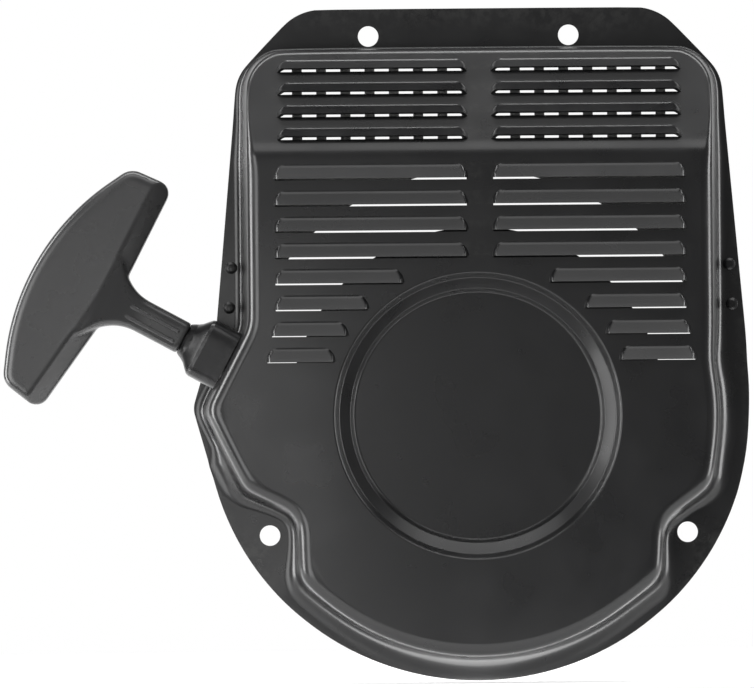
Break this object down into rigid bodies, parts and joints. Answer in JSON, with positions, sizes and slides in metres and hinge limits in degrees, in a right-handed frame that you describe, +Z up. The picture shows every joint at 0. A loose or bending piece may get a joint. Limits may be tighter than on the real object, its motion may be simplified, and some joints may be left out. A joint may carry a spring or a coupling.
{
  "type": "recoil starter",
  "caption": "Recoil starter of a small engine: louvred black steel cover, perforated screen, rope pulley with spiral spring and pawls, and a T-handle on its rope.",
  "frame": {"origin": "on the crankshaft axis, in the plane of the mounting flange's rear face", "axes": "+Y along the crankshaft axis into the engine, the cover's front looks along -Y, +Z up, +X to the right as seen from the front"},
  "size_m": [0.2611, 0.045, 0.2359],
  "materials": {
    "black_painted_steel": "gloss black paint",
    "zinc_plated_steel": "dull zinc plating",
    "black_nylon": "moulded black nylon",
    "spring_steel": "oiled spring steel",
    "starter_rope": "braided rope",
    "handle_plastic": "satin black plastic"
  },
  "bodies": {
    "housing": {"housing_cover": "black_painted_steel", "debris_screen": "zinc_plated_steel", "screen_rivet_1": "black_painted_steel", "screen_rivet_2": "black_painted_steel", "screen_rivet_3": "black_painted_steel", "screen_rivet_4": "black_painted_steel", "post_plate": "zinc_plated_steel", "centre_post": "zinc_plated_steel", "rope_guide": "black_nylon", "guide_collar": "black_nylon", "rope_run": "starter_rope", "thrust_washer": "zinc_plated_steel", "friction_spring": "spring_steel", "screw_washer": "zinc_plated_steel", "centre_screw": "zinc_plated_steel"},
    "pulley": {"rope_pulley": "black_nylon", "rope_coil": "starter_rope", "pulley_knot": "starter_rope", "recoil_spring": "spring_steel", "spring_retainer": "zinc_plated_steel", "retainer_screw_1": "zinc_plated_steel", "retainer_screw_2": "zinc_plated_steel", "retainer_screw_3": "zinc_plated_steel", "pawl_pin_a": "zinc_plated_steel", "pawl_pin_b": "zinc_plated_steel"},
    "guide": {"guide_plate": "zinc_plated_steel"},
    "pawl_first": {"pawl_a": "zinc_plated_steel"},
    "pawl_second": {"pawl_b": "zinc_plated_steel"},
    "handle": {"handle_grip": "handle_plastic", "handle_insert": "zinc_plated_steel", "handle_knot": "starter_rope", "handle_plug": "handle_plastic"}
  },
  "joints": [
    {"name": "pulley_spin", "type": "hinge", "parent": "housing", "child": "pulley", "pos_m": [0, -0.0176, 0], "axis": [0, 1, 0], "range_deg": [0, 900], "stiffness_Nm_per_rad": 0.02, "springref_deg": -572.96, "deforming": ["recoil_spring", "rope_coil"]},
    {"name": "handle_pull", "type": "slide", "parent": "housing", "child": "handle", "axis": [-0.8788, 0, 0.4772], "range_m": [0, 0.904], "deforming": ["rope_run"]},
    {"name": "guide_plate_turn", "type": "hinge", "parent": "pulley", "child": "guide", "pos_m": [0, -0.0062, 0], "axis": [0, 1, 0], "range_deg": [-30, 0]},
    {"name": "pawl_a_swing", "type": "hinge", "parent": "pulley", "child": "pawl_first", "pos_m": [0.00504, -0.0103, 0.02856], "axis": [0, 1, 0], "range_deg": [0, 25]},
    {"name": "pawl_b_swing", "type": "hinge", "parent": "pulley", "child": "pawl_second", "pos_m": [-0.00504, -0.0103, -0.02856], "axis": [0, 1, 0], "range_deg": [0, 25]}
  ],
  "couplings": [
    {"joint": "handle_pull", "follows": "pulley_spin", "m_per_rad": 0.0575},
    {"joint": "pawl_a_swing", "follows": "guide_plate_turn", "ratio": -0.8333},
    {"joint": "pawl_b_swing", "follows": "guide_plate_turn", "ratio": -0.8333}
  ]
}
